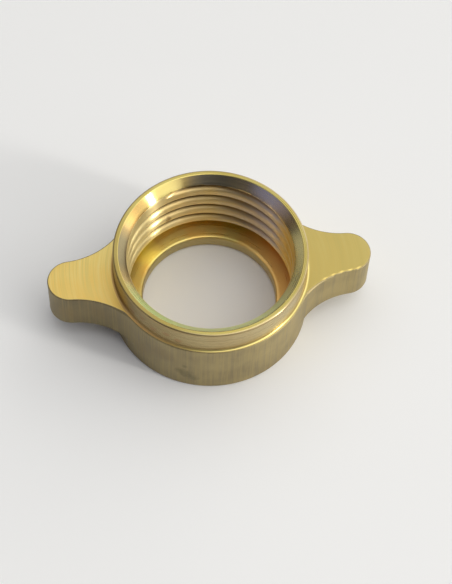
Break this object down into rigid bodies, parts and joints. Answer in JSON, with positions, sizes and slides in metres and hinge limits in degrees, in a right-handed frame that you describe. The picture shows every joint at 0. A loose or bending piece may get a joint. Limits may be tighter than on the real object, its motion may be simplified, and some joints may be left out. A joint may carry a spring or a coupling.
{
  "type": "wing nut",
  "caption": "Two-winged union nut in turned brass, with a coarse internal thread, a wide mouth chamfer and an inward lip at the bottom.",
  "frame": {"origin": "on the thread axis, at the flat bottom face of the nut", "axes": "+Z along the thread axis, out of the threaded mouth; +X through the tip of one wing"},
  "size_m": [0.062, 0.038, 0.0184],
  "materials": {
    "brass": "turned and brushed, bare"
  },
  "bodies": {
    "root": {"wing_nut": "brass"}
  },
  "joints": []
}
